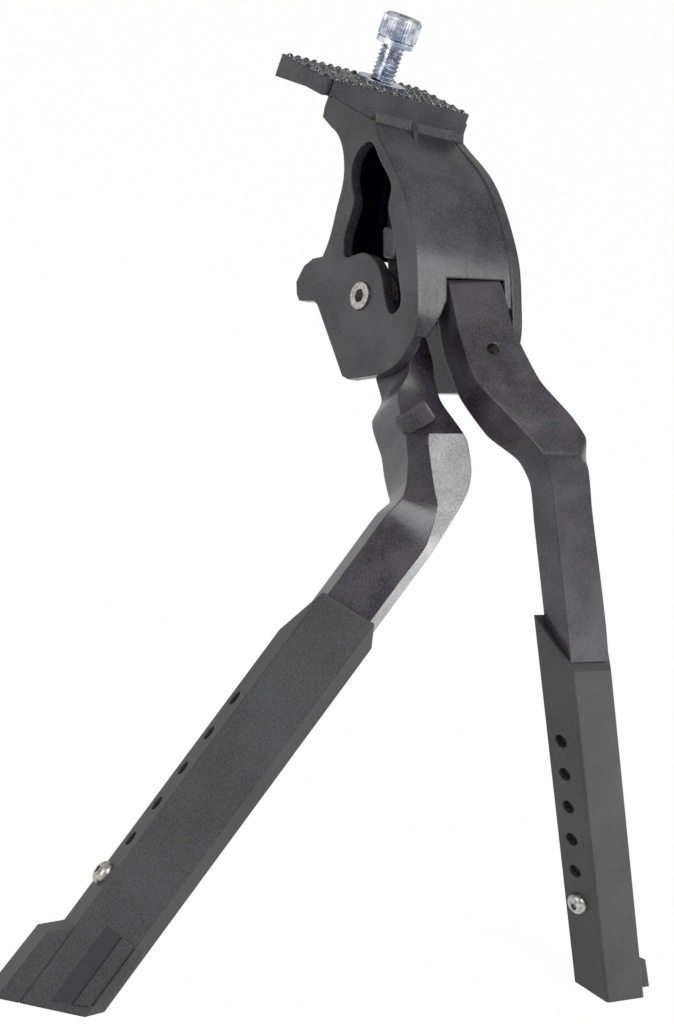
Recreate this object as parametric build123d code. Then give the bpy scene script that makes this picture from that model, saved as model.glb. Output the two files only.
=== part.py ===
from build123d import *
import math
import os

# Double-leg bicycle kickstand, millimetres, +Z up along the mounting bolt.
# The origin is the centre of the bolt hole on the top face of the mounting plate.
# X runs across the bicycle, -Y is the side of the curved front wall, +Y is the rear.

# Mounting plate, cast in one with the housing
plate_left = 42.0
plate_right = 34.0
plate_front = 20.0
plate_back = 14.0
plate_thickness = 7.0
plate_corner = 1.5
corner_step = 2.6
gusset_drop = 5.0
overhang_drop = 2.4

# Mounting bolt and its washers
bolt_diameter = 10.0
bolt_head_diameter = 16.0
bolt_head_height = 10.0
bolt_socket = 8.0
bolt_socket_depth = 5.5
bolt_head_gap = 19.0
bolt_reach = 9.0
washer_outer = 20.0
washer_thickness = 2.0
lock_washer_outer = 15.6
lock_washer_thickness = 2.2
thread_clearance = 0.05
washer_clearance = 0.3
washer_seat_depth = 0.3
washer_seat_margin = 0.6

# Housing: two cheeks, the curved front wall and the middle web
cheek_near_x = -13.0
housing_width = 47.0
cheek_thickness = 5.0
wall_thickness = 5.0
far_lead = 9.0
far_lift = 2.5
web_x = 5.4
web_thickness = 2.6
cove_height = 4.0
anchor_thickness = 5.0
anchor_round = 1.5

# Axles, bushes and their retaining rings
axle_diameter = 11.0
axle_socket = 5.0
axle_socket_depth = 5.0
axle_end_proud = 1.0
bush_wall = 1.5
running_clearance = 0.05
side_clearance = 0.4
ring_thickness = 1.2
ring_outer = 14.0
hub_radius = 12.5
spring_wire = 2.0
spring_turns = 2.5
pivot_y = -50.0
pivot_z = -76.0
right_pivot = (17.5, -53.0, -71.0)
right_axis = (0.96, 0.24, 0.06)
right_hub_length = 10.0
right_hub_radius = 10.5
boss_radius = 8.0
boss_relief = 9.0
right_boss_proud = 4.6
core_radius = 8.6
core_length = 6.2
cheek_relief = 41.0

# Legs: the row of height holes of each sleeve starts at row_start and runs along the lower leg;
# side is square to the face with the holes, and front is square to the wide front face
left_row_start = (-84.0, -146.5, -211.5)
left_down = (-0.465, -0.111, -0.878)
left_turn = -24.7
right_row_start = (84.0, -149.0, -217.5)
right_down = (0.479, -0.093, -0.873)
right_turn = 10.9
ground_z = -327.0
right_eye_diameter = 6.0
right_eye = (12.0, -104.5, -75.2)

# Section of the lower leg, seen along the leg
leg_width = 24.5
leg_depth = 11.6
leg_bevel = 1.6
leg_chamfer = 5.0

# Sleeves: moulded covers that slide on the lower legs
sleeve_wall = 2.7
sleeve_fit = 0.15
sleeve_below = 118.0
sleeve_chamfer = 7.0
hole_pitch = 16.0
hole_diameter = 6.0
hole_count = 6
hole_from_front = 10.2
left_flare = 7.0
right_flare = 4.5
left_toe_lift = 16.0
right_toe_lift = -7.0

# Height screws and their inserts
screw_diameter = 5.0
screw_head_diameter = 9.5
screw_head_height = 3.4
screw_socket = 3.0
screw_socket_depth = 2.0
insert_outer = 8.0
insert_length = 7.0


def unit(v):
    return Vector(*v).normalized()


def at(origin, *terms):
    point = Vector(*origin)
    for direction, amount in terms:
        point = point + direction * amount
    return point


def yz_points(points, x):
    return [Vector(x, y, z) for y, z in points]


def offset_curve(points, distance):
    # Points moved square to the curve, towards the inside of the housing
    moved = []
    for i, (y, z) in enumerate(points):
        y0, z0 = points[max(i - 1, 0)]
        y1, z1 = points[min(i + 1, len(points) - 1)]
        length = math.hypot(y1 - y0, z1 - z0)
        moved.append((y - (z1 - z0) / length * distance, z + (y1 - y0) / length * distance))
    return moved


def prism(points, direction):
    face = make_face(Polyline(*points, close=True))
    return extrude(face, amount=direction.length, dir=direction.normalized())


def rod(start, direction, radius, length):
    plane = Plane(origin=start, z_dir=direction)
    return plane * Cylinder(radius, length, align=(Align.CENTER, Align.CENTER, Align.MIN))


def hexagon(start, direction, across_flats, depth):
    plane = Plane(origin=start, z_dir=direction)
    sketch = RegularPolygon(across_flats / 2, 6, major_radius=False)
    return extrude(plane * sketch, amount=depth)


# Housing outline in the YZ plane, taken on the near cheek
front_curve = [(-20.0, -11.0), (-24.8, -15.0), (-36.0, -20.9), (-48.5, -27.7), (-61.6, -37.8),
               (-71.5, -47.4), (-79.8, -59.4), (-86.0, -70.0), (-88.1, -78.0)]
nose_curve = [(-88.1, -78.0), (-87.5, -83.5), (-84.5, -91.5), (-78.0, -98.0), (-70.0, -102.8),
              (-60.0, -108.0)]
tab_outline = [(-60.0, -108.0), (-56.0, -108.2), (-26.0, -89.0), (-23.0, -88.3), (-14.0, -91.7),
               (-11.0, -90.0), (-8.0, -85.6), (-9.3, -78.3), (-13.2, -73.6), (-18.6, -70.7)]
rear_curve = [(-18.6, -70.7), (-18.4, -58.9), (-16.7, -50.0), (-14.9, -39.8), (-10.7, -31.8),
              (-5.0, -26.0), (4.0, -22.6)]
top_outline = [(4.0, -22.6), (11.9, -20.6), (13.0, -16.5), (13.0, -4.0), (-20.0, -4.0),
               (-20.0, -11.0)]
far_front = [(y - far_lead * min(1.0, i / 2), z + far_lift * min(1.0, i / 2))
             for i, (y, z) in enumerate(front_curve)]
far_nose = [(y - far_lead, z + far_lift) for y, z in nose_curve[:4]]


def cheek(front, nose, x, with_tab):
    rear = tab_outline if with_tab else [tab_outline[0], tab_outline[1], tab_outline[2],
                                         tab_outline[-1]]
    if not with_tab:
        nose = nose + [rear[0]]
    edges = [Spline(*yz_points(front, x)), Spline(*yz_points(nose, x)),
             Polyline(*yz_points(rear, x)), Spline(*yz_points(rear_curve, x)),
             Polyline(*yz_points(top_outline, x))]
    face = make_face(edges)
    return extrude(face, amount=cheek_thickness, dir=(1, 0, 0))


def wall_profile(front, x):
    inner = offset_curve(front, wall_thickness)
    outer_points = yz_points(front, x)
    inner_points = yz_points(inner, x)
    edges = [Spline(*outer_points), Line(outer_points[-1], inner_points[-1]),
             Spline(*inner_points[::-1]), Line(inner_points[0], outer_points[0])]
    return make_face(edges)


cheek_far_x = cheek_near_x + housing_width - cheek_thickness
near_cheek = cheek(front_curve, nose_curve, cheek_near_x, True)
far_cheek = cheek(far_front, far_nose, cheek_far_x, False)
front_wall = loft([wall_profile(front_curve, cheek_near_x),
                   wall_profile(far_front, cheek_near_x + housing_width)], ruled=True)

# Plate with a stepped left corner and a tapered underside
plate_size = (plate_left + plate_right, plate_front + plate_back)
plate_centre = ((plate_right - plate_left) / 2, (plate_back - plate_front) / 2)
plate = Pos(plate_centre[0], plate_centre[1], -plate_thickness / 2) * Box(
    plate_size[0], plate_size[1], plate_thickness)
plate = fillet(plate.edges().filter_by(Axis.Z), plate_corner)
step = Pos(-plate_left + corner_step, -plate_front, -plate_thickness / 2) * Box(
    corner_step, corner_step * 1.2, plate_thickness * 3)
overhang = prism([Vector(-plate_left + 0.5, plate_back - 0.5, -plate_thickness + 0.5),
                  Vector(-plate_left + 0.5, -plate_front + 6, -plate_thickness + 0.5),
                  Vector(-plate_left + 0.5, plate_back - 0.5, -plate_thickness - overhang_drop)],
                 Vector(cheek_near_x + plate_left, 0, 0))
gusset_face = [Vector(-plate_left + corner_step * 1.6, -plate_front, -plate_thickness + 0.5),
               Vector(cheek_near_x, -plate_front, -plate_thickness - gusset_drop),
               Vector(plate_right - 0.5, -plate_front, -plate_thickness + 0.2)]
gusset = prism(gusset_face, Vector(0, 12, 0))
cove = prism([Vector(cheek_near_x, -plate_front + 0.6, -plate_thickness),
              Vector(cheek_near_x, -plate_front + 12, -plate_thickness),
              Vector(cheek_near_x, -plate_front + 12, -plate_thickness - cove_height * 2),
              Vector(cheek_near_x, -plate_front - 2, -plate_thickness - cove_height - 1)],
             Vector(housing_width, 0, 0))

# Middle web that carries the inner ends of both axles
pivot = Vector(0, pivot_y, pivot_z)
web = prism(yz_points([(-2.0, -6.0), (-18.0, -6.0), (-44.0, -32.0), (-59.0, -56.0), (-63.0, -70.0),
                       (-58.0, -82.0), (pivot_y - 3, pivot_z - 8.5), (pivot_y + 5, pivot_z - 7.5),
                       (-39.5, -68.0), (-22.0, -40.0)], web_x), Vector(web_thickness, 0, 0))

# Window in the near cheek
window_points = [(-20.8, -20.6), (-17.6, -24.5), (-18.3, -36.1), (-25.0, -44.0), (-28.5, -62.0),
                 (-31.8, -65.6), (-40.7, -61.1), (-47.0, -59.9), (-54.0, -62.0), (-60.0, -67.2),
                 (-66.8, -74.0), (-71.5, -75.6), (-74.4, -72.0), (-70.5, -64.4), (-63.6, -56.2),
                 (-52.2, -44.2), (-47.2, -38.6), (-45.0, -32.0), (-40.5, -28.3), (-31.0, -23.6)]
window_edge = Spline(*yz_points(window_points, cheek_near_x - 1), periodic=True)
window = extrude(make_face(window_edge), amount=cheek_thickness + 2, dir=(1, 0, 0))

# Bores, bosses and axles
left_pivot = Vector(0, pivot_y, pivot_z)
axis_x = Vector(1, 0, 0)
right_centre = Vector(*right_pivot)
axis_r = unit(right_axis)
axle_radius = axle_diameter / 2
bore_radius = axle_radius + running_clearance
left_axle_start = Vector(cheek_near_x - axle_end_proud, pivot_y, pivot_z)
web_far = web_x + web_thickness
left_axle_length = web_far - left_axle_start.X
right_inner_end = (web_far + 0.2 - right_centre.X + axle_radius * 0.44) / axis_r.X
right_hub_half = right_hub_length / 2
right_boss_end = (cheek_near_x + housing_width - right_centre.X) / axis_r.X + right_boss_proud
boss_inner = rod(right_centre + axis_r * (web_x + 0.6 - right_centre.X) / axis_r.X, axis_r,
                 boss_radius, -right_hub_half - side_clearance
                 - (web_x + 0.6 - right_centre.X) / axis_r.X)
boss_outer = rod(right_centre + axis_r * (right_hub_half + side_clearance), axis_r, boss_radius,
                 right_boss_end - right_hub_half - side_clearance)
boss_trim = Pos(web_x - 20, right_centre.Y, right_centre.Z) * Box(40, 60, 60)
boss_inner = boss_inner - boss_trim
right_bore = rod(right_centre + axis_r * (right_inner_end - 0.1), axis_r, bore_radius, 60)
left_bore = rod(left_axle_start - axis_x * 5, axis_x, bore_radius, left_axle_length + 5)

# Notch in the front wall for the right leg, and the open lower end of the wall
notch_left = 0.2
notch_right = 26.4
notch_top = -50.6
notch = prism([Vector(notch_left, -120, notch_top - 4.4), Vector(notch_right, -120, notch_top),
               Vector(notch_right, -120, -140), Vector(notch_left, -120, -140)],
              Vector(0, 70, 0))
lower_cut = prism([Vector(cheek_near_x + cheek_thickness, -130, -80),
                   Vector(notch_left + 1, -130, -60), Vector(cheek_far_x, -130, -60),
                   Vector(cheek_far_x, -130, -140),
                   Vector(cheek_near_x + cheek_thickness, -130, -140)], Vector(0, 90, 0))
bolt_bore = Pos(0, 0, -20) * Cylinder(bolt_diameter / 2 + thread_clearance, 60)

washer_seat = Pos(0, 0, -washer_seat_depth / 2) * Cylinder(
    washer_outer / 2 + washer_seat_margin, washer_seat_depth)

front_wall = front_wall - notch - lower_cut
housing = plate + near_cheek + far_cheek + front_wall + gusset + overhang + cove + web
housing = housing + boss_inner + boss_outer
housing = housing - step - window - left_bore - right_bore - bolt_bore - washer_seat

left_axle = rod(left_axle_start, axis_x, axle_radius, left_axle_length)
left_axle = left_axle - hexagon(left_axle_start, axis_x, axle_socket, axle_socket_depth)
right_axle_start = right_centre + axis_r * right_inner_end
right_axle_end = right_centre + axis_r * (right_boss_end + ring_thickness + 1.0)
right_axle = rod(right_axle_start, axis_r, axle_radius, (right_axle_end - right_axle_start).length)
right_axle = right_axle - hexagon(right_axle_end, axis_r * -1, axle_socket, axle_socket_depth)


def retaining_ring(start, direction):
    ring = rod(start, direction, ring_outer / 2, ring_thickness)
    return ring - rod(start - direction, direction, axle_radius, ring_thickness + 2)


right_ring = retaining_ring(right_centre + axis_r * right_boss_end, axis_r)

# Bolt, lock washer and flat washer
head_bottom = bolt_head_gap
bolt_head = Pos(0, 0, head_bottom + bolt_head_height / 2) * Cylinder(
    bolt_head_diameter / 2, bolt_head_height)
bolt_head = chamfer(bolt_head.edges().group_by(Axis.Z)[-1], 0.8)
bolt_head = bolt_head - hexagon(Vector(0, 0, head_bottom + bolt_head_height), Vector(0, 0, -1),
                                bolt_socket, bolt_socket_depth)
shank = Pos(0, 0, (head_bottom - bolt_reach) / 2) * Cylinder(
    bolt_diameter / 2, head_bottom + bolt_reach)
shank = chamfer(shank.edges().group_by(Axis.Z)[0], 0.8)
mounting_bolt = bolt_head + shank


def washer(bottom, outer, thickness, bore):
    ring = Pos(0, 0, bottom + thickness / 2) * (
        Cylinder(outer / 2, thickness) - Cylinder(bore / 2, thickness))
    return ring


flat_washer = washer(-washer_seat_depth, washer_outer, washer_thickness, bolt_diameter + 2 * washer_clearance)
lock_washer = washer(head_bottom - lock_washer_thickness, lock_washer_outer,
                     lock_washer_thickness, bolt_diameter + 2 * washer_clearance)
split_gap = Pos((bolt_diameter + lock_washer_outer) / 4, 0, head_bottom) * Rot(30, 0, 0) * Box(
    lock_washer_outer / 2, 0.9, lock_washer_thickness * 4)
lock_washer = lock_washer - split_gap


# Frame of a lower leg
def leg_frame(start, down, turn):
    down = unit(down)
    across = Vector(-1, 0, 0)
    across = (across - down * across.dot(down)).normalized()
    forward = down.cross(across)
    if forward.Y > 0:
        forward = forward * -1
    angle = math.radians(turn)
    side = across * math.cos(angle) + forward * math.sin(angle)
    front = side.cross(down)
    if front.Y > 0:
        front = front * -1
    return Vector(*start), side, front, down


leg_face = -sleeve_wall - sleeve_fit
leg_front = hole_from_front - sleeve_wall - sleeve_fit


def section_corners(grow):
    # Leg section as (side, front) pairs, the same order as free_section
    near = leg_face + grow
    far = leg_face - leg_width - grow
    top = leg_front + grow
    back = leg_front - leg_depth - grow
    return [(near, top - leg_bevel), (near - leg_bevel, top), (far + leg_chamfer, top),
            (far, top - leg_chamfer), (far, back), (near, back)]


def frame_point(frame, side_amount, front_amount, down_amount):
    start, side, front, down = frame
    return start + side * side_amount + front * front_amount + down * down_amount


def lower_section(frame, down_amount, tilt):
    corners = section_corners(0)
    points = [frame_point(frame, s, f, down_amount + tilt * (leg_face - s)) for s, f in corners]
    return make_face(Polyline(*points, close=True))


def free_section(left_point, right_point, inward, depth):
    a = Vector(*left_point)
    b = Vector(*right_point)
    along = (b - a).normalized()
    inward = unit(inward)
    inward = (inward - along * inward.dot(along)).normalized()
    points = [a + inward * leg_bevel, a + along * leg_bevel, b - along * leg_chamfer,
              b + inward * leg_chamfer, b + inward * depth, a + inward * depth]
    return make_face(Polyline(*points, close=True))


leg_end = sleeve_below - 22.0

# Left leg: hub, arm and the bent body with its stop lug
left_frame = leg_frame(left_row_start, left_down, left_turn)
hub_start = cheek_near_x + cheek_thickness + side_clearance
hub_end = web_x - side_clearance
left_hub = rod(Vector(hub_start + core_length, pivot_y, pivot_z), axis_x, hub_radius,
               hub_end - hub_start - core_length)
left_core = rod(Vector(hub_start, pivot_y, pivot_z), axis_x, core_radius, core_length)
arm_dir = Vector(0, -0.80, -0.60)
arm_side = Vector(0, -0.60, 0.80)
arm_root = left_pivot + arm_dir * 2
arm_block = prism([at(arm_root, (arm_side, 11.5), (axis_x, hub_start + core_length)),
                   at(arm_root, (arm_side, 11.5), (arm_dir, 38), (axis_x, hub_start + core_length)),
                   at(arm_root, (arm_side, -11.5), (arm_dir, 38), (axis_x, hub_start + core_length)),
                   at(arm_root, (arm_side, -11.5), (axis_x, hub_start + core_length))],
                  axis_x * (hub_end - hub_start - core_length))
arm_cheek = prism([at(arm_root, (arm_side, 11.5), (arm_dir, 13), (axis_x, hub_start)),
                   at(arm_root, (arm_side, 11.5), (arm_dir, 38), (axis_x, hub_start)),
                   at(arm_root, (arm_side, -11.5), (arm_dir, 38), (axis_x, hub_start)),
                   at(arm_root, (arm_side, -11.5), (arm_dir, 13), (axis_x, hub_start))],
                  axis_x * (hub_end - hub_start))
arm_tip = left_pivot + arm_dir * 36 + arm_side * 11
left_body = loft([
    free_section((hub_start, arm_tip.Y, arm_tip.Z), (hub_end, arm_tip.Y, arm_tip.Z),
                 (0, 0.6, -0.8), 21),
    free_section((-26.0, -98.0, -108.5), (10.0, -112.0, -103.0), (0.1, 0.55, -0.83), 17),
    free_section((-38.0, -127.0, -123.5), (-3.0, -132.0, -117.0), (0.1, 0.65, -0.75), 15),
    lower_section(left_frame, -86.0, -0.35),
    lower_section(left_frame, leg_end, 0)], ruled=True)
left_lug = Pos(-12.5, -109.5, -103.5) * Rot(-36, 0, 14) * Box(22, 13, 13)
left_lug = fillet(left_lug.edges(), 2.4)
bush_outer = axle_radius + running_clearance + bush_wall
relief_left = rod(Vector(-70, pivot_y, pivot_z), axis_x, cheek_relief, 70 + hub_start)
relief_right = rod(Vector(hub_end, pivot_y, pivot_z), axis_x, cheek_relief, 70)
left_leg = arm_block + arm_cheek + left_body + left_lug - relief_left - relief_right
left_leg = left_leg + left_hub + left_core
left_leg = left_leg - rod(Vector(hub_start - 1, pivot_y, pivot_z), axis_x, bush_outer,
                          hub_end - hub_start + 2)

# Right leg: hub on its slanting axle, flat top flush in the notch, bent lower leg
right_frame = leg_frame(right_row_start, right_down, right_turn)
right_hub = rod(right_centre - axis_r * right_hub_half, axis_r, right_hub_radius,
                right_hub_length)
right_body = loft([
    free_section((12.5, -55.0, -61.5), (22.5, -55.0, -61.5), (0, 0.3, -0.95), 19),
    free_section((9.2, -70.0, -57.0), (25.0, -70.5, -54.0), (0, 0.5, -0.87), 15),
    free_section((0.9, -79.6, -56.6), (24.6, -82.5, -51.6), (0, 0.66, -0.75), 13),
    free_section((1.0, -108.0, -80.6), (24.4, -111.1, -73.8), (0, 0.66, -0.75), 12.5),
    free_section((16.7, -126.5, -94.3), (43.0, -128.1, -87.4), (0, 0.80, -0.60), 12),
    lower_section(right_frame, -108.0, -0.32),
    lower_section(right_frame, leg_end, 0)], ruled=True)
relief_inner = rod(right_centre - axis_r * right_hub_half, axis_r * -1, boss_relief, 40)
relief_outer = rod(right_centre + axis_r * right_hub_half, axis_r, boss_relief, 40)
right_body = right_body - relief_inner - relief_outer
eye_dir = unit((0, 0.66, -0.75))
eye = rod(Vector(*right_eye) - eye_dir * 10, eye_dir, right_eye_diameter / 2, 40)
pocket = Plane(origin=Vector(*right_eye) + eye_dir * 4.2, z_dir=eye_dir, x_dir=(1, 0, 0)) * Box(
    15, 22, 20, align=(Align.CENTER, Align.CENTER, Align.MIN))
right_leg = right_hub + right_body - eye - pocket
right_leg = right_leg - rod(right_centre - axis_r * 20, axis_r, bush_outer, 40)


def bush(start, direction, length):
    outer = rod(start, direction, bush_outer, length)
    return outer - rod(start - direction, direction, bore_radius, length + 2)


left_bush = bush(Vector(hub_start, pivot_y, pivot_z), axis_x, hub_end - hub_start)
right_bush = bush(right_centre - axis_r * right_hub_half, axis_r, right_hub_length)

# Lug on the web, seen through the window, that takes the spring's fixed end
anchor_outline = [(-31.0, -50.5), (-41.0, -48.5), (-45.0, -59.5), (-38.0, -61.5)]
spring_anchor = prism(yz_points(anchor_outline, web_x - anchor_thickness),
                      Vector(anchor_thickness, 0, 0))
anchor_edges = spring_anchor.edges().filter_by(Axis.X)
anchor_edges = anchor_edges + spring_anchor.edges().group_by(Axis.X)[0]
spring_anchor = fillet(anchor_edges, anchor_round)

# Torsion spring around the core of the left hub
spring_height = core_length - spring_wire - 0.6
spring_mean = core_radius + 0.5 + spring_wire / 2
spring_path = Helix(pitch=spring_height / spring_turns, height=spring_height, radius=spring_mean)
spring_section = Plane(origin=spring_path @ 0, z_dir=spring_path % 0) * Circle(spring_wire / 2)
spring = sweep(spring_section, path=spring_path, is_frenet=True)
spring_place = Plane(origin=Vector(hub_start + spring_wire / 2 + 0.3, pivot_y, pivot_z),
                     z_dir=axis_x)
return_spring = spring_place * spring


# Sleeve with its foot, hole row, screw and insert
def sleeve_outline(extra):
    # Outer outline of the sleeve as (side, front) pairs
    far = leg_face - leg_width - sleeve_fit - sleeve_wall
    back = leg_front - leg_depth - sleeve_fit - sleeve_wall
    return [(0 + extra, back - extra), (0 + extra, hole_from_front - 0.8), (-0.8, hole_from_front),
            (far + sleeve_chamfer, hole_from_front), (far, hole_from_front - sleeve_chamfer),
            (far, back - extra)]


def frame_prism(frame, corners, from_down, to_down):
    points = [frame_point(frame, s, f, from_down) for s, f in corners]
    return prism(points, frame[3] * (to_down - from_down))


def make_sleeve(frame, cut_points, outward, flare, toe_lift):
    outer = frame_prism(frame, sleeve_outline(0), -70, sleeve_below + 40)
    corners = sleeve_outline(0)
    far = corners[4][0]
    back = corners[0][1]
    edge = 0 if outward > 0 else far
    toe_top = sleeve_below - toe_lift
    toe_front = hole_from_front if outward > 0 else hole_from_front - sleeve_chamfer
    toe = [(edge, toe_top), (edge + outward * flare, toe_top + flare),
           (edge + outward * (flare + 1.5), sleeve_below + 40), (edge, sleeve_below + 40)]
    toe_points = [frame_point(frame, s, back, d) for s, d in toe]
    toe_block = prism(toe_points, frame[2] * (toe_front - back))
    shape = outer + toe_block
    cavity = frame_prism(frame, section_corners(sleeve_fit), -90, leg_end + 1)
    shape = shape - cavity
    a, b, c = [frame_point(frame, s, f, d) for s, f, d in cut_points]
    normal = (b - a).cross(c - a).normalized()
    if normal.dot(frame[3]) > 0:
        normal = normal * -1
    shape = split(shape, bisect_by=Plane(origin=a, z_dir=normal), keep=Keep.BOTTOM)
    shape = split(shape, bisect_by=Plane(origin=(0, 0, ground_z), z_dir=(0, 0, 1)),
                  keep=Keep.TOP)
    for i in range(hole_count):
        centre = frame_point(frame, 2, 0, i * hole_pitch)
        shape = shape - rod(centre, frame[1] * -1, hole_diameter / 2, sleeve_wall + 2 + sleeve_fit)
    return shape


left_sleeve = make_sleeve(left_frame, [(0, hole_from_front, -50), (0, -7, -31),
                                       (-27, hole_from_front, -53)], 1,
                          left_flare, left_toe_lift)
right_sleeve = make_sleeve(right_frame, [(0, hole_from_front, -36), (0, -7, -57),
                                         (-27, hole_from_front, -23)], -1,
                           right_flare, right_toe_lift)


def make_screw(frame):
    down_amount = (hole_count - 1) * hole_pitch
    base = frame_point(frame, 0, 0, down_amount)
    side = frame[1]
    head = rod(base, side, screw_head_diameter / 2, screw_head_height)
    rim = head.edges().filter_by(GeomType.CIRCLE).sort_by(lambda e: (e.center() - base).dot(side))[-1]
    head = fillet(rim, screw_head_height * 0.85)
    reach = sleeve_wall + sleeve_fit + insert_length
    screw = head + rod(base, side * -1, screw_diameter / 2, reach)
    screw = screw - hexagon(base + side * screw_head_height, side * -1, screw_socket,
                            screw_socket_depth)
    insert_start = base + side * leg_face
    insert = rod(insert_start, side * -1, insert_outer / 2, insert_length)
    insert = insert - rod(insert_start + side, side * -1, screw_diameter / 2, insert_length + 2)
    seat = rod(insert_start + side, side * -1, insert_outer / 2, insert_length + 1)
    return screw, insert, seat


left_screw, left_insert, left_seat = make_screw(left_frame)
right_screw, right_insert, right_seat = make_screw(right_frame)
left_leg = left_leg - left_seat
right_leg = right_leg - right_seat

part_list = {
    "housing": housing,
    "mounting_bolt": mounting_bolt,
    "bolt_lock_washer": lock_washer,
    "bolt_flat_washer": flat_washer,
    "left_axle": left_axle,
    "right_axle": right_axle,
    "right_axle_ring": right_ring,
    "return_spring": return_spring,
    "spring_anchor": spring_anchor,
    "left_leg": left_leg,
    "left_bush": left_bush,
    "left_insert": left_insert,
    "left_sleeve": left_sleeve,
    "left_height_screw": left_screw,
    "right_leg": right_leg,
    "right_bush": right_bush,
    "right_insert": right_insert,
    "right_sleeve": right_sleeve,
    "right_height_screw": right_screw,
}
os.makedirs("parts", exist_ok=True)
for name, shape in part_list.items():
    export_step(shape, f"parts/{name}.step")
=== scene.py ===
import math

import bmesh
import bpy
from mathutils import Matrix, Vector


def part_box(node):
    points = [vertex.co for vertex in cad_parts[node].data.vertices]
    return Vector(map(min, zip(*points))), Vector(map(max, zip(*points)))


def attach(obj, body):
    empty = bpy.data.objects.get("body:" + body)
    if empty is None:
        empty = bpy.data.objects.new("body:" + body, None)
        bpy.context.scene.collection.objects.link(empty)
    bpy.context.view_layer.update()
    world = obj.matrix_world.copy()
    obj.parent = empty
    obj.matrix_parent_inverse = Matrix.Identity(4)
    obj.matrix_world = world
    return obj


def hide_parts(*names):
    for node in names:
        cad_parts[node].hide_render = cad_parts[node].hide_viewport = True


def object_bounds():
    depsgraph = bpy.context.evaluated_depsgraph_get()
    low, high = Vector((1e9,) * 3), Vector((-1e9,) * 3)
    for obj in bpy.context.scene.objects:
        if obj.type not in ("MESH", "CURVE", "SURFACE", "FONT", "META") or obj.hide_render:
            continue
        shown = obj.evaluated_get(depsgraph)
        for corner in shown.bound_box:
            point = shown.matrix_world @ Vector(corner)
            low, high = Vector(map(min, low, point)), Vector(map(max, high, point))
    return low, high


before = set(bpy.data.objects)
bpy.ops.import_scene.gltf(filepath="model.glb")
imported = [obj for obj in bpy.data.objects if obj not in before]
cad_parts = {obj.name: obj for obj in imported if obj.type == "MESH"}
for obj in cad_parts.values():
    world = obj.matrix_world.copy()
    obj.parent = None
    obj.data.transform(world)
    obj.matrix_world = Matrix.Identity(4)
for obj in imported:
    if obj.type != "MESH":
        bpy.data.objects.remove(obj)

cad_low, cad_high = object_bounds()

# Camera: low and to the left of the curved wall's side, rolled about twenty degrees, with a long
# lens, so that the plate leans and the left foot comes nearest.
camera_data = bpy.data.cameras.new("camera")
camera_data.sensor_fit = "VERTICAL"
camera_data.sensor_height = 36.0
camera_data.sensor_width = 36.0
camera_data.lens = 101.7
camera = bpy.data.objects.new("camera", camera_data)
camera_right = Vector((0.7688, -0.5456, 0.3335)).normalized()
camera_forward = Vector((0.6306, 0.7337, -0.2533)).normalized()
camera_up = camera_right.cross(camera_forward).normalized()
camera_place = Vector((-0.736, -0.923, 0.134))
camera.matrix_world = Matrix((
    (camera_right.x, camera_up.x, -camera_forward.x, camera_place.x),
    (camera_right.y, camera_up.y, -camera_forward.y, camera_place.y),
    (camera_right.z, camera_up.z, -camera_forward.z, camera_place.z),
    (0.0, 0.0, 0.0, 1.0)))
bpy.context.scene.collection.objects.link(camera)
bpy.context.scene.camera = camera


# Housing: an aluminium casting under satin-gloss black enamel with a slight purple cast. The paint
# pools and mottles, the casting was brushed before painting, the curved wall has a scratch, and
# the cast edges are softly rounded.
class Shade:
    # One output of a finish's nodes, so that sums on it add the nodes they need
    def __init__(self, tree, socket=None):
        self.tree = tree
        self.socket = socket

    def node(self, kind, settings=None, sockets=None, output=0):
        made = self.tree.nodes.new(kind)
        for key, value in (settings or {}).items():
            setattr(made, key, value)
        for key, value in (sockets or {}).items():
            if isinstance(value, Shade):
                self.tree.links.new(value.socket, made.inputs[key])
            else:
                made.inputs[key].default_value = value
        return Shade(self.tree, made.outputs[output])

    def sum(self, operation, other=0.0, first=False):
        pair = {0: other, 1: self} if first else {0: self, 1: other}
        return self.node("ShaderNodeMath", {"operation": operation}, pair)

    def __add__(self, other):
        return self.sum("ADD", other)

    def __radd__(self, other):
        return self.sum("ADD", other)

    def __sub__(self, other):
        return self.sum("SUBTRACT", other)

    def __rsub__(self, other):
        return self.sum("SUBTRACT", other, True)

    def __mul__(self, other):
        return self.sum("MULTIPLY", other)

    def __rmul__(self, other):
        return self.sum("MULTIPLY", other)


def new_finish(name):
    material = bpy.data.materials.new(name)
    material.use_nodes = True
    tree = material.node_tree
    shader = tree.nodes["Principled BSDF"]
    start = Shade(tree)
    place = start.node("ShaderNodeTexCoord", output="Object")
    return material, shader, start, place


def feed(shader, socket, value):
    if isinstance(value, Shade):
        value.tree.links.new(value.socket, shader.inputs[socket])
    else:
        shader.inputs[socket].default_value = value


def noise(place, scale, detail=3.0, stretch=(1.0, 1.0, 1.0), turn=(0.0, 0.0, 0.0)):
    turned = place.node("ShaderNodeMapping", {}, {"Vector": place, "Scale": stretch, "Rotation": turn})
    return place.node("ShaderNodeTexNoise", {}, {"Vector": turned, "Scale": scale, "Detail": detail})


def blend(mask, dark, light):
    return mask.node("ShaderNodeMix", {"data_type": "RGBA"},
                     {"Factor": mask, 6: dark, 7: light}, 2)


def ramp(value, low, high):
    return value.node("ShaderNodeMapRange", {"interpolation_type": "SMOOTHSTEP"},
                      {"Value": value, "From Min": low, "From Max": high})


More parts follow.
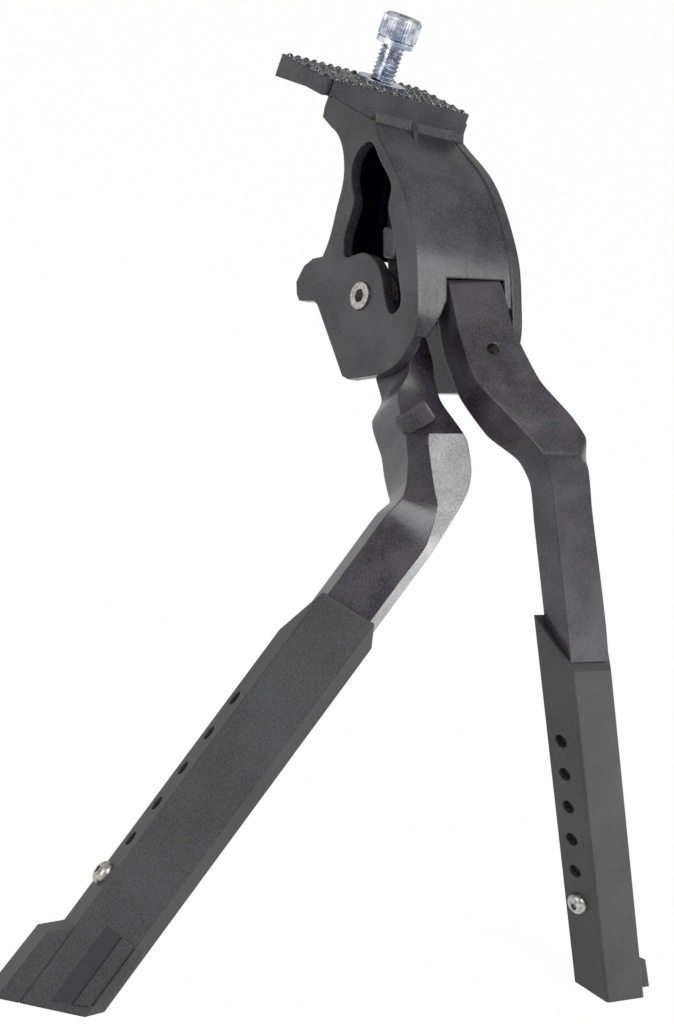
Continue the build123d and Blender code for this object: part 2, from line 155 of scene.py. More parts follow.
def scratch(place, start, end, width):
    # A thin line between two points of the surface, 1 on the line and 0 off it
    a = Vector(start)
    run = Vector(end) - a
    away = place.node("ShaderNodeVectorMath", {"operation": "SUBTRACT"}, {0: place, 1: a})
    along = away.node("ShaderNodeVectorMath", {"operation": "DOT_PRODUCT"},
                      {0: away, 1: run / run.length_squared}, "Value")
    held = along.node("ShaderNodeClamp", {}, {"Value": along})
    spot = held.node("ShaderNodeVectorMath", {"operation": "SCALE"}, {0: run, "Scale": held})
    gap = away.node("ShaderNodeVectorMath", {"operation": "DISTANCE"}, {0: away, 1: spot}, "Value")
    return 1.0 - ramp(gap, width * 0.4, width)


def rounded(start, radius):
    return start.node("ShaderNodeBevel", {"samples": 6}, {"Radius": radius}, "Normal")


enamel, enamel_shader, start, place = new_finish("black_enamel")
mottle = noise(place, 45.0, 4.0)
pooled = noise(place, 160.0, 3.0)
brushed = noise(place, 260.0, 3.0, (1.0, 0.06, 0.06), (0.0, 0.0, 0.2))
flecked = noise(place, 1700.0, 2.0)
wall_scratch = scratch(place, (0.0145, -0.0900, -0.0420), (0.0290, -0.0860, -0.0380), 0.00022)
colour = blend(ramp(mottle * 0.50 + flecked * 0.60, 0.42, 0.68),
               (0.012, 0.011, 0.014, 1.0), (0.056, 0.054, 0.058, 1.0))
colour = blend(wall_scratch * 0.7, colour, (0.30, 0.30, 0.30, 1.0))
feed(enamel_shader, "Base Color", colour)
feed(enamel_shader, "Roughness", 0.16 + mottle * 0.14 + pooled * 0.10 + wall_scratch * 0.2)
peel = mottle * 0.5 + pooled * 0.35 + brushed * 0.4 + noise(place, 900.0, 2.0) * 0.12
feed(enamel_shader, "Normal", peel.node("ShaderNodeBump", {}, {
    "Strength": 0.22, "Distance": 0.0008, "Height": peel, "Normal": rounded(start, 0.0011)}))
enamel_shader.inputs["IOR"].default_value = 1.5


def dress(name, material):
    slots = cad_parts[name].data.materials
    if len(slots) == 0:
        slots.append(material)
    for i in range(len(slots)):
        slots[i] = material


dress("housing", enamel)


# Inside of the housing: a thin back web across the casting and a short rib in a near-black copy of
# the enamel that is painted shade. Their shape is a guess, because the window shows little more than a
# dark inside.
def finished(name, shape, material=None, sharp=None):
    # A shape as an object, in its material and smooth up to the angle in degrees where given
    mesh = bpy.data.meshes.new(name)
    shape.to_mesh(mesh)
    shape.free()
    if material is not None:
        mesh.materials.append(material)
    if sharp is not None:
        mesh.shade_smooth()
        mesh.set_sharp_from_angle(angle=math.radians(sharp))
    made = bpy.data.objects.new(name, mesh)
    bpy.context.scene.collection.objects.link(made)
    return made


def slab(name, outline, run, material, floor_height=None):
    # A flat piece: an outline in millimetres, pushed along run, cut level at floor_height in metres
    shape = bmesh.new()
    low = [shape.verts.new(Vector(point) * 0.001) for point in outline]
    high = [shape.verts.new(v.co + Vector(run) * 0.001) for v in low]
    shape.faces.new(low)
    shape.faces.new(high[::-1])
    for i in range(len(low)):
        j = (i + 1) % len(low)
        shape.faces.new((low[j], low[i], high[i], high[j]))
    if floor_height is not None:
        cut = bmesh.ops.bisect_plane(shape, geom=shape.verts[:] + shape.edges[:] + shape.faces[:],
                                     plane_co=(0.0, 0.0, floor_height), plane_no=(0.0, 0.0, -1.0),
                                     clear_outer=True)
        rim = [e for e in cut["geom_cut"] if isinstance(e, bmesh.types.BMEdge)]
        bmesh.ops.holes_fill(shape, edges=rim)
    bmesh.ops.recalc_face_normals(shape, faces=shape.faces)
    return finished(name, shape, material)


# A near-black copy of the enamel with little reflection: painted shade for the housing's inside
shade_enamel, shade_shader, start, place = new_finish("painted_shade_enamel")
pooled = noise(place, 160.0, 3.0)
feed(shade_shader, "Base Color", blend(pooled, (0.001, 0.001, 0.003, 1.0), (0.006, 0.004, 0.009, 1.0)))
feed(shade_shader, "Roughness", 0.30 + pooled * 0.15)
shade_shader.inputs["Specular IOR Level"].default_value = 0.05
web_outline = [(-13, -9), (-12, -24), (-12.5, -36.5), (-19, -46), (-22.5, -62), (-24, -66),
               (-26, -66), (-24.6, -62), (-21.2, -46), (-14.6, -37), (-14.2, -24), (-15.2, -9)]
rib_outline = [(-19.5, -27), (-22.5, -34), (-24, -44), (-27.5, -50), (-25.4, -51), (-22, -44.5),
               (-20.4, -34), (-17.2, -28)]
for name, outline, left_end, width in (("housing_inner_wall", web_outline, -8.0, 37.0),
                                       ("housing_inner_rib", rib_outline, 3.0, 6.0)):
    piece = slab(name, [(left_end, y, z) for y, z in outline], (width, 0, 0), shade_enamel)
    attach(piece, "mount_frame")


# Plate top: rows of small cast studs, staggered, that bite into the frame tubes above. They leave
# a bare ring for the washer and stop short of the plate's edges.
def new_tree(name, sizes):
    tree = bpy.data.node_groups.new(name, "GeometryNodeTree")
    tree.interface.new_socket("Geometry", in_out="OUTPUT", socket_type="NodeSocketGeometry")
    for label, kind in sizes:
        tree.interface.new_socket(label, in_out="INPUT", socket_type=kind)
    return tree, tree.nodes.new("NodeGroupInput"), tree.nodes.new("NodeGroupOutput")


def add(tree, kind, settings=None, sockets=None):
    made = tree.nodes.new(kind)
    for key, value in (settings or {}).items():
        setattr(made, key, value)
    for key, value in (sockets or {}).items():
        if isinstance(value, bpy.types.NodeSocket):
            tree.links.new(value, made.inputs[key])
        else:
            made.inputs[key].default_value = value
    return made


def worked_out(tree, operation, *values):
    return add(tree, "ShaderNodeMath", {"operation": operation}, dict(enumerate(values))).outputs[0]


def coat(tree, geometry, material, out):
    # The end of a tree: real geometry in its material
    real = add(tree, "GeometryNodeRealizeInstances", {}, {0: geometry})
    coated = add(tree, "GeometryNodeSetMaterial", {}, {"Geometry": real.outputs[0], "Material": material})
    tree.links.new(coated.outputs[0], out.inputs[0])


def grown(name, tree, values):
    # A tree's result as a plain mesh object
    holder = bpy.data.objects.new(name + "_holder", bpy.data.meshes.new(name + "_holder"))
    bpy.context.scene.collection.objects.link(holder)
    modifier = holder.modifiers.new("grow", "NODES")
    modifier.node_group = tree
    for item in tree.interface.items_tree:
        if item.item_type == "SOCKET" and item.in_out == "INPUT" and item.name in values:
            modifier[item.identifier] = values[item.name]
    graph = bpy.context.evaluated_depsgraph_get()
    graph.update()
    mesh = bpy.data.meshes.new_from_object(holder.evaluated_get(graph))
    bpy.data.objects.remove(holder)
    mesh.name = name
    made = bpy.data.objects.new(name, mesh)
    bpy.context.scene.collection.objects.link(made)
    return made


plate_middle = Vector((-0.004, -0.003, 0.0))
plate_step_x, plate_step_y = -0.0385, -0.0155
stud_pitch = 0.0042
row_pitch = stud_pitch * 0.8
stud_sink = 0.0001
row_count_offset = 100.25
# The studs' bright specks are painted highlights: glints put into their colour
stud_enamel, stud_shader, start, place = new_finish("stud_enamel")
glint_noise = noise(place, 1500.0, 2.0)
glint = ramp(glint_noise, 0.56, 0.66)
feed(stud_shader, "Base Color", blend(glint, (0.014, 0.014, 0.016, 1.0), (0.50, 0.50, 0.51, 1.0)))
feed(stud_shader, "Roughness", 0.16 + glint_noise * 0.2)
stud_tree, given, out = new_tree("plate_studs", [
    ("Pitch", "NodeSocketFloat"), ("Row Pitch", "NodeSocketFloat"), ("Height", "NodeSocketFloat"),
    ("Bare Radius", "NodeSocketFloat"), ("Studs Across", "NodeSocketInt"), ("Rows", "NodeSocketInt")])
size = given.outputs
wide = worked_out(stud_tree, "MULTIPLY_ADD", size["Studs Across"], size["Pitch"], -stud_pitch)
deep = worked_out(stud_tree, "MULTIPLY_ADD", size["Rows"], size["Row Pitch"], -row_pitch)
grid = add(stud_tree, "GeometryNodeMeshGrid", {}, {
    "Size X": wide, "Size Y": deep, "Vertices X": size["Studs Across"], "Vertices Y": size["Rows"]})
spots = add(stud_tree, "GeometryNodeMeshToPoints", {}, {"Mesh": grid.outputs["Mesh"]})
where = add(stud_tree, "GeometryNodeInputPosition")
parts = add(stud_tree, "ShaderNodeSeparateXYZ", {}, {0: where.outputs[0]})
row = worked_out(stud_tree, "DIVIDE", parts.outputs["Y"], size["Row Pitch"])
row_number = worked_out(stud_tree, "FLOOR", worked_out(stud_tree, "ADD", row, row_count_offset))
odd = worked_out(stud_tree, "FLOORED_MODULO", row_number, 2.0)
shift = worked_out(stud_tree, "MULTIPLY", odd, stud_pitch / 2)
offset = add(stud_tree, "ShaderNodeCombineXYZ", {}, {"X": shift})
moved = add(stud_tree, "GeometryNodeSetPosition", {}, {
    "Geometry": spots.outputs[0], "Offset": offset.outputs[0]})
placed = add(stud_tree, "GeometryNodeTransform", {}, {
    "Geometry": moved.outputs[0], "Translation": plate_middle - Vector((stud_pitch / 4, 0.0, 0.0))})
reach = add(stud_tree, "ShaderNodeVectorMath", {"operation": "LENGTH"}, {0: where.outputs[0]})
near_bolt = worked_out(stud_tree, "LESS_THAN", reach.outputs["Value"], size["Bare Radius"])
off_left = worked_out(stud_tree, "LESS_THAN", parts.outputs["X"], plate_step_x)
off_front = worked_out(stud_tree, "LESS_THAN", parts.outputs["Y"], plate_step_y)
at_step = worked_out(stud_tree, "MULTIPLY", off_left, off_front)
gone = worked_out(stud_tree, "MAXIMUM", near_bolt, at_step)
kept = add(stud_tree, "GeometryNodeDeleteGeometry", {"domain": "POINT"}, {
    "Geometry": placed.outputs[0], "Selection": gone})
stud = add(stud_tree, "GeometryNodeMeshCone", {"fill_type": "NGON"}, {
    "Vertices": 8, "Radius Top": 0.0006, "Radius Bottom": 0.0018, "Depth": size["Height"]})
seated = add(stud_tree, "GeometryNodeTransform", {}, {
    "Geometry": stud.outputs[0], "Translation": (0.0, 0.0, -stud_sink)})
many = add(stud_tree, "GeometryNodeInstanceOnPoints", {}, {
    "Points": kept.outputs[0], "Instance": seated.outputs[0]})
coat(stud_tree, many.outputs[0], stud_enamel, out)
studs = grown("plate_studs", stud_tree, {
    "Pitch": stud_pitch, "Row Pitch": row_pitch, "Height": 0.0012, "Bare Radius": 0.0118,
    "Studs Across": 17, "Rows": 10})
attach(studs, "mount_frame")

# Mounting bolt: a bright zinc M10 socket screw with a straight-knurled head, rolled thread and
# a hexagon socket. It stands in the plate with a flat and a split washer.
zinc, zinc_shader, start, place = new_finish("bright_zinc")
cloud = noise(place, 220.0, 3.0)
tint = blend(ramp(cloud, 0.35, 0.7), (0.27, 0.31, 0.42, 1.0), (0.86, 0.87, 0.91, 1.0))
feed(zinc_shader, "Base Color", tint)
feed(zinc_shader, "Metallic", 1.0)
feed(zinc_shader, "Roughness", 0.12 + cloud * 0.16)
feed(zinc_shader, "Normal", rounded(start, 0.0003))


def turned(name, rings, segments, material):
    # A closed turned piece: each ring is (radius or function of the angle, height), the ends are poles
    shape = bmesh.new()
    loops = []
    for radius, height in rings:
        if radius == 0:
            loops.append([shape.verts.new((0.0, 0.0, height))])
            continue
        loop = []
        for i in range(segments):
            angle = 2 * math.pi * i / segments
            size = radius(angle) if callable(radius) else radius
            loop.append(shape.verts.new((size * math.cos(angle), size * math.sin(angle), height)))
        loops.append(loop)
    for low, high in zip(loops, loops[1:]):
        for i in range(segments):
            j = (i + 1) % segments
            if len(low) == 1:
                shape.faces.new((low[0], high[j], high[i]))
            elif len(high) == 1:
                shape.faces.new((low[i], low[j], high[0]))
            else:
                shape.faces.new((low[i], low[j], high[j], high[i]))
    bmesh.ops.recalc_face_normals(shape, faces=shape.faces)
    return finished(name, shape, material)


def hexagonal(flat):
    def radius(angle):
        return flat / math.cos((angle % (math.pi / 3)) - math.pi / 6)
    return radius


bolt_low, bolt_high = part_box("mounting_bolt")
head_bottom = bolt_high.z - 0.010
head_radius = 0.0076
core_radius = 0.0041
socket = hexagonal(0.0040)
bolt = turned("bolt_body", [
    (0, bolt_low.z), (0.0034, bolt_low.z), (core_radius, bolt_low.z + 0.0008),
    (core_radius, head_bottom), (0.0071, head_bottom), (head_radius, head_bottom + 0.0005),
    (head_radius, bolt_high.z - 0.0011), (0.0068, bolt_high.z), (0.0050, bolt_high.z),
    (socket, bolt_high.z - 0.0004), (socket, bolt_high.z - 0.0055), (0, bolt_high.z - 0.0070)], 48, zinc)
thread_pitch = 0.0018
thread_radius = 0.0050
ridge_share = 0.47
thread_tree, given, out = new_tree("bolt_thread", [
    ("Pitch", "NodeSocketFloat"), ("Length", "NodeSocketFloat"), ("Root Radius", "NodeSocketFloat"),
    ("Bottom", "NodeSocketFloat")])
size = given.outputs
turns = worked_out(thread_tree, "DIVIDE", size["Length"], size["Pitch"])
spiral = add(thread_tree, "GeometryNodeCurveSpiral", {}, {
    "Resolution": 28, "Rotations": turns, "Start Radius": size["Root Radius"],
    "End Radius": size["Root Radius"], "Height": size["Length"]})
upright = add(thread_tree, "GeometryNodeSetCurveNormal", {"mode": "Z_UP"}, {"Curve": spiral.outputs[0]})
half = worked_out(thread_tree, "MULTIPLY", size["Pitch"], ridge_share)
ridge = add(thread_tree, "GeometryNodeCurvePrimitiveCircle", {}, {"Resolution": 4, "Radius": half})
swept = add(thread_tree, "GeometryNodeCurveToMesh", {}, {
    "Curve": upright.outputs[0], "Profile Curve": ridge.outputs[0], "Fill Caps": True})
lift = add(thread_tree, "ShaderNodeCombineXYZ", {}, {"Z": size["Bottom"]})
raised = add(thread_tree, "GeometryNodeTransform", {}, {
    "Geometry": swept.outputs[0], "Translation": lift.outputs[0]})
flat_shaded = add(thread_tree, "GeometryNodeSetShadeSmooth", {}, {
    "Geometry": raised.outputs[0], "Shade Smooth": False})
coat(thread_tree, flat_shaded.outputs[0], zinc, out)
thread = grown("bolt_thread", thread_tree, {
    "Pitch": thread_pitch, "Length": head_bottom - bolt_low.z - 0.0026,
    "Root Radius": thread_radius - thread_pitch * ridge_share, "Bottom": bolt_low.z + 0.0014})
tooth_count = 40
knurl_tree, given, out = new_tree("head_knurl", [
    ("Count", "NodeSocketInt"), ("Radius", "NodeSocketFloat"), ("Height", "NodeSocketFloat"),
    ("Width", "NodeSocketFloat"), ("Middle", "NodeSocketFloat")])
size = given.outputs
ring = add(knurl_tree, "GeometryNodeMeshCircle", {"fill_type": "NONE"}, {
    "Vertices": size["Count"], "Radius": size["Radius"]})
spots = add(knurl_tree, "GeometryNodeMeshToPoints", {}, {"Mesh": ring.outputs[0]})
number = add(knurl_tree, "GeometryNodeInputIndex")
angle = worked_out(knurl_tree, "MULTIPLY_ADD", number.outputs[0], 2 * math.pi / tooth_count, math.pi / 4)
turn = add(knurl_tree, "ShaderNodeCombineXYZ", {}, {"Z": angle})
block = add(knurl_tree, "ShaderNodeCombineXYZ", {}, {
    "X": size["Width"], "Y": size["Width"], "Z": size["Height"]})
tooth = add(knurl_tree, "GeometryNodeMeshCube", {}, {"Size": block.outputs[0]})
many = add(knurl_tree, "GeometryNodeInstanceOnPoints", {}, {
    "Points": spots.outputs[0], "Instance": tooth.outputs[0], "Rotation": turn.outputs[0]})
lift = add(knurl_tree, "ShaderNodeCombineXYZ", {}, {"Z": size["Middle"]})
raised = add(knurl_tree, "GeometryNodeTransform", {}, {
    "Geometry": many.outputs[0], "Translation": lift.outputs[0]})
coat(knurl_tree, raised.outputs[0], zinc, out)
knurl = grown("head_knurl", knurl_tree, {
    "Count": tooth_count, "Radius": head_radius, "Height": 0.0080, "Width": 0.00062,
    "Middle": (head_bottom + bolt_high.z) / 2 - 0.0002})
for piece in (bolt, thread, knurl):
    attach(piece, "mount_frame")
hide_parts("mounting_bolt")
dress("bolt_flat_washer", zinc)
dress("bolt_lock_washer", zinc)

# Axles, retaining ring, bushes and return spring: turned steel pins with hexagon sockets, oiled
# bronze bushes and inserts, and a bare steel spring round the left hub. A grey lump in the
# housing anchors the spring's end.
steel, steel_shader, start, place = new_finish("bare_steel")
grain = noise(place, 700.0, 2.0)
feed(steel_shader, "Base Color", blend(ramp(grain, 0.3, 0.7),
                                       (0.30, 0.29, 0.28, 1.0), (0.56, 0.55, 0.53, 1.0)))
feed(steel_shader, "Metallic", 1.0)
feed(steel_shader, "Roughness", 0.26 + grain * 0.18)
feed(steel_shader, "Normal", rounded(start, 0.0003))
bronze, bronze_shader, start, place = new_finish("oiled_bronze")
grain = noise(place, 900.0, 2.0)
feed(bronze_shader, "Base Color", blend(grain, (0.16, 0.10, 0.05, 1.0), (0.30, 0.20, 0.10, 1.0)))
feed(bronze_shader, "Metallic", 1.0)
feed(bronze_shader, "Roughness", 0.35 + grain * 0.2)
lug_grey, lug_shader, start, place = new_finish("lug_grey")
grain = noise(place, 350.0, 3.0)
feed(lug_shader, "Base Color", blend(grain, (0.05, 0.05, 0.055, 1.0), (0.13, 0.13, 0.14, 1.0)))
feed(lug_shader, "Roughness", 0.35 + grain * 0.2)
feed(lug_shader, "Normal", rounded(start, 0.0006))
for name in ("left_axle", "right_axle", "right_axle_ring", "return_spring"):
    dress(name, steel)
for name in ("left_bush", "right_bush", "left_insert", "right_insert"):
    dress(name, bronze)
dress("spring_anchor", lug_grey)

# Legs: two castings in the same black enamel, glossier in the bends. The left one's broad sloping
# face has a painted highlight: a paler grey colour under a fine brushed grain. A crumb of flash sits
# beside its stop lug. The right one has an ejector mark on its side and a hole through its upper end.
leg_enamel, leg_shader, start, place = new_finish("leg_enamel")
mottle = noise(place, 55.0, 4.0)
pooled = noise(place, 240.0, 3.0)
ejector = place.node("ShaderNodeVectorMath", {"operation": "DISTANCE"},
                     {0: place, 1: (0.0505, -0.1385, -0.1480)}, "Value")
ejector_ring = ramp(ejector, 0.0030, 0.0034) - ramp(ejector, 0.0034, 0.0039)
flecked = noise(place, 1700.0, 2.0)
colour = blend(ramp(mottle * 0.50 + flecked * 0.60, 0.42, 0.68),
               (0.012, 0.010, 0.014, 1.0), (0.052, 0.049, 0.056, 1.0))
feed(leg_shader, "Base Color", colour)
feed(leg_shader, "Roughness", 0.19 + mottle * 0.10 + pooled * 0.10)
peel = mottle * 0.4 + pooled * 0.4 - ejector_ring * 0.8
feed(leg_shader, "Normal", peel.node("ShaderNodeBump", {}, {
    "Strength": 0.2, "Distance": 0.0008, "Height": peel, "Normal": rounded(start, 0.0010)}))
# A paler grey copy of the enamel with a brushed grain: a painted highlight on the left leg's sloping face
painted_sheen_enamel, painted_sheen_shader, start, place = new_finish("painted_sheen_enamel")
grain = noise(place, 2600.0, 2.0, (1.0, 0.5, 0.5), (0.5, 0.2, 0.3))
patches = noise(place, 60.0, 2.0)
pale = ramp(grain * 0.8 + patches * 0.4, 0.30, 0.95)
feed(painted_sheen_shader, "Base Color", blend(pale, (0.16, 0.16, 0.165, 1.0), (0.52, 0.52, 0.525, 1.0)))
feed(painted_sheen_shader, "Roughness", 0.24 + grain * 0.15)
feed(painted_sheen_shader, "Normal", grain.node("ShaderNodeBump", {}, {
    "Strength": 0.15, "Distance": 0.0003, "Height": grain, "Normal": rounded(start, 0.0011)}))


def lower_frame(start, down, turn):
    # Directions of a lower leg: across to the holes' side, out of the wide face, and down the leg
    down = Vector(down).normalized()
    across = Vector((-1.0, 0.0, 0.0))
    across = (across - down * across.dot(down)).normalized()
    forward = down.cross(across)
    if forward.y > 0:
        forward = -forward
    angle = math.radians(turn)
    side = (across * math.cos(angle) + forward * math.sin(angle)).normalized()
    front = side.cross(down)
    if front.y > 0:
        front = -front
    return Vector(start), side, front, down


def along_frame(place, side_amount, front_amount, down_amount):
    start, side, front, down = place
    return start + side * side_amount + front * front_amount + down * down_amount


def lower_ring(place, down_amount, wider=0.0):
    # The five corners of a straight lower leg, in millimetres: the near edge, both ends of the
    # chamfer along the far edge, and the two back edges
    near_edge, far_edge = -2.85, -27.35 - wider
    front_face, back_face = 7.35, -4.25
    chamfer = 5.0
    corners = ((near_edge, front_face), (far_edge + chamfer, front_face),
               (far_edge, front_face - chamfer), (far_edge, back_face), (near_edge, back_face))
    return [along_frame(place, across, out, down_amount) for across, out in corners]


def bent_ring(near, crease, far, inward, near_depth, far_depth, back_shift=0.0):
    # The five corners of a bent section, in millimetres: three along its outer face, and the two
    # behind them at their depths
    near, crease, far = Vector(near), Vector(crease), Vector(far)
    inward = Vector(inward).normalized()
    return [near, crease, far, far + inward * far_depth,
            near + inward * near_depth + Vector((back_shift, 0.0, 0.0))]


def smooth_between(rings, index, share):
    # A point of every long edge between two rings, on a curve that runs through the rings. Steps
    # shorter than least, in millimetres, give no direction of their own.
    least, pull = 0.01, 0.6
    first, second = rings[index], rings[index + 1]
    before = rings[index - 1] if index > 0 else first
    after = rings[index + 2] if index + 2 < len(rings) else second
    points = []
    for p0, p1, p2, p3 in zip(before, first, second, after):
        reach = (p2 - p1).length
        along = (p2 - p1).normalized()
        start = (p1 - p0).normalized() if (p1 - p0).length > least else along
        end = (p3 - p2).normalized() if (p3 - p2).length > least else along
        m1 = (start + along).normalized() * reach
        m2 = (end + along).normalized() * reach
        s, s2, s3 = share, share ** 2, share ** 3
        points.append(p1 * (2 * s3 - 3 * s2 + 1) + m1 * (s3 - 2 * s2 + s) * pull
                      + p2 * (3 * s2 - 2 * s3) + m2 * (s3 - s2) * pull)
    return points


casting_edge = 28
bore_radius = 7.05


def bent_leg(name, rings, hub_start, hub_axis, hub_length, hub_radius, sheen_from=None):
    # A cast leg, in millimetres: a bent bar between the rings, closed at both ends, and the tube of
    # its hub. From the section sheen_from on, its sloping side has a painted highlight in a paler finish.
    steps_between, sloping_side, around = 6, 1, 40
    shape = bmesh.new()
    sections = []
    for index in range(len(rings) - 2):
        sections += [smooth_between(rings, index, k / steps_between) for k in range(steps_between)]
    sections += rings[-2:]
    loops = [[shape.verts.new(point * 0.001) for point in section] for section in sections]
    for number, (low, high) in enumerate(zip(loops, loops[1:])):
        for i in range(len(low)):
            j = (i + 1) % len(low)
            side = shape.faces.new((low[i], low[j], high[j], high[i]))
            if sheen_from is not None and i == sloping_side and number >= sheen_from:
                side.material_index = 1
    shape.faces.new(loops[0][::-1])
    shape.faces.new(loops[-1])
    turn = Vector(hub_axis).normalized().to_track_quat("Z", "Y").to_matrix().to_4x4()
    place_hub = Matrix.Translation(Vector(hub_start) * 0.001) @ turn
    walls = []
    for radius, height in ((bore_radius, 0.0), (hub_radius, 0.0), (hub_radius, hub_length),
                           (bore_radius, hub_length)):
        wall = []
        for k in range(around):
            angle = 2 * math.pi * k / around
            spot = Vector((radius * math.cos(angle), radius * math.sin(angle), height))
            wall.append(shape.verts.new(place_hub @ (spot * 0.001)))
        walls.append(wall)
    for low, high in zip(walls, walls[1:] + walls[:1]):
        for k in range(around):
            m = (k + 1) % around
            shape.faces.new((low[k], low[m], high[m], high[k]))
    bmesh.ops.recalc_face_normals(shape, faces=shape.faces)
    made = finished(name, shape, leg_enamel, casting_edge)
    if sheen_from is not None:
        made.data.materials.append(painted_sheen_enamel)
    return made


left_lower = lower_frame((-84.0, -146.5, -211.5), (-0.465, -0.111, -0.878), -24.7)
right_lower = lower_frame((84.0, -149.0, -217.5), (0.479, -0.093, -0.873), 10.9)
arm_in, turn_in, arc_in = (0.0, 0.6, -0.8), (0.1, 0.55, -0.83), (0.1, 0.6, -0.8)
left_rings = [
    bent_ring((-7.4, -63.0, -72.0), (3.0, -63.0, -72.0), (4.8, -63.2, -73.0), arm_in, 20.0, 20.0),
    bent_ring((-7.4, -83.8, -87.6), (3.0, -83.8, -87.6), (4.8, -84.2, -88.4), arm_in, 21.0, 20.0),
    bent_ring((-8.6, -88.0, -92.5), (2.0, -88.6, -92.2), (3.6, -89.4, -93.0), turn_in, 21.0, 19.0),
    bent_ring((-13.0, -91.5, -101.0), (1.4, -96.5, -98.6), (3.2, -98.0, -99.2), turn_in, 20.0, 17.0),
    bent_ring((-19.0, -111.0, -111.0), (-10.7, -114.9, -110.5), (5.0, -118.1, -107.0),
              arc_in, 18.0, 12.0),
    bent_ring((-23.3, -122.0, -117.0), (-16.5, -129.0, -117.7), (2.2, -129.8, -115.2),
              (0.1, 0.65, -0.75), 17.0, 10.0),
    bent_ring((-29.4, -132.8, -123.1), (-21.0, -139.9, -122.5), (-7.2, -142.4, -119.8),
              (0.2, 0.7, -0.65), 15.0, 8.5),
    bent_ring((-36.0, -141.0, -126.5), (-24.5, -148.5, -126.0), (-13.2, -148.0, -124.8),
              (0.3, 0.8, -0.5), 13.0, 7.0),
    lower_ring(left_lower, -88.0), lower_ring(left_lower, -70.0), lower_ring(left_lower, 96.0)]
left_leg = bent_leg("left_leg_casting", left_rings, (-1.4, -50.0, -76.0), (1, 0, 0), 6.4, 12.5, 23)
right_in = (0.0, 0.66, -0.75)
right_wider = 2.2
right_rings = [
    bent_ring((10.0, -66.0, -60.0), (11.0, -66.0, -60.0), (22.6, -66.0, -57.6), right_in, 8.0, 8.0),
    bent_ring((1.6, -79.1, -55.9), (2.0, -79.1, -55.9), (24.4, -81.8, -51.0), right_in, 13.0, 13.0, 4.0),
    bent_ring((1.1, -97.5, -71.7), (1.6, -97.5, -71.7), (25.2, -98.4, -64.6), right_in, 16.0, 15.0, 5.0),
    bent_ring((3.6, -113.8, -84.7), (4.4, -114.0, -84.6), (31.4, -117.6, -79.1),
              right_in, 14.0, 13.0, 3.0),
    bent_ring((14.8, -128.3, -93.4), (26.5, -133.4, -93.4), (41.4, -130.4, -87.2), right_in, 15.0, 12.0),
    bent_ring((24.0, -140.9, -101.0), (41.0, -142.0, -99.2), (47.2, -136.0, -93.0),
              (-0.1, 0.8, -0.6), 12.6, 8.5),
    lower_ring(right_lower, -116.0, right_wider), lower_ring(right_lower, -98.0, right_wider),
    lower_ring(right_lower, -19.0, right_wider), lower_ring(right_lower, -14.0),
    lower_ring(right_lower, 96.0)]
hub_axis = Vector((0.96, 0.24, 0.06)).normalized()
hub_middle = Vector((17.5, -53.0, -71.0))
hub_length = 10.0
right_leg = bent_leg("right_leg_casting", right_rings, hub_middle - hub_axis * hub_length / 2, hub_axis,
                     hub_length, 10.5)


def bored(made, middle, direction, radius, length):
    # A round hole through a closed piece, in millimetres
    shape = bmesh.new()
    turn = Vector(direction).to_track_quat("Z", "Y").to_matrix().to_4x4()
    bmesh.ops.create_cone(shape, cap_ends=True, segments=32, radius1=radius * 0.001,
                          radius2=radius * 0.001, depth=length * 0.001,
                          matrix=Matrix.Translation(Vector(middle) * 0.001) @ turn)
    cutter = finished("bore", shape)
    cutter_mesh = cutter.data
    change = made.modifiers.new("bore", "BOOLEAN")
    change.operation = "DIFFERENCE"
    change.solver = "EXACT"
    change.object = cutter
    bpy.context.view_layer.update()
    result = bpy.data.meshes.new_from_object(made.evaluated_get(bpy.context.evaluated_depsgraph_get()))
    made.modifiers.remove(change)
    made.data = result
    made.data.set_sharp_from_angle(angle=math.radians(casting_edge))
    bpy.data.objects.remove(cutter)
    bpy.data.meshes.remove(cutter_mesh)


bored(right_leg, (14.0, -104.2, -73.4), (0.60, 0.72, -0.34), 2.4, 80.0)
lug_size = (0.0145, 0.0088, 0.0120, 1.0)
lug_tilt = math.radians(32)
lug_along = (camera_right * math.cos(lug_tilt) + camera_up * math.sin(lug_tilt)).normalized()
lug_out = -camera_forward
lug_up = lug_out.cross(lug_along)
lug_middle = (Vector((-0.0060, -0.1030, -0.1005)) - camera_right * 0.0056 - camera_up * 0.0056
              - camera_forward * 0.0048)
lug_turn = Matrix.Translation(lug_middle) @ Matrix((lug_along, lug_up, lug_out)).transposed().to_4x4()
lug_shape = bmesh.new()
bmesh.ops.create_cube(lug_shape, size=1.0, matrix=lug_turn @ Matrix.Diagonal(lug_size))
bmesh.ops.bevel(lug_shape, geom=lug_shape.edges[:], offset=0.0016, segments=3, profile=0.6, affect="EDGES")
lug = finished("left_leg_lug", lug_shape, leg_enamel, 35)
flash_thickness = 2.2
flash_middle = Vector((-17.6, -112.4, -110.4)) - camera_forward * 1.6 - camera_up * 5.0
flash = slab("left_leg_flash", [
    flash_middle + camera_right * across + camera_up * above for across, above in
    ((-1.1, 0.2), (-0.2, 2.9), (0.5, 1.0), (1.0, 1.5), (1.5, 0.1), (0.9, -1.9), (0.1, -0.9))],
    camera_forward * flash_thickness, leg_enamel)
for piece, body, node in ((left_leg, "left_leg_group", "left_leg"),
                          (right_leg, "right_leg_group", "right_leg"),
                          (lug, "left_leg_group", None), (flash, "left_leg_group", None)):
    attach(piece, body)
    if node:
        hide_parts(node)

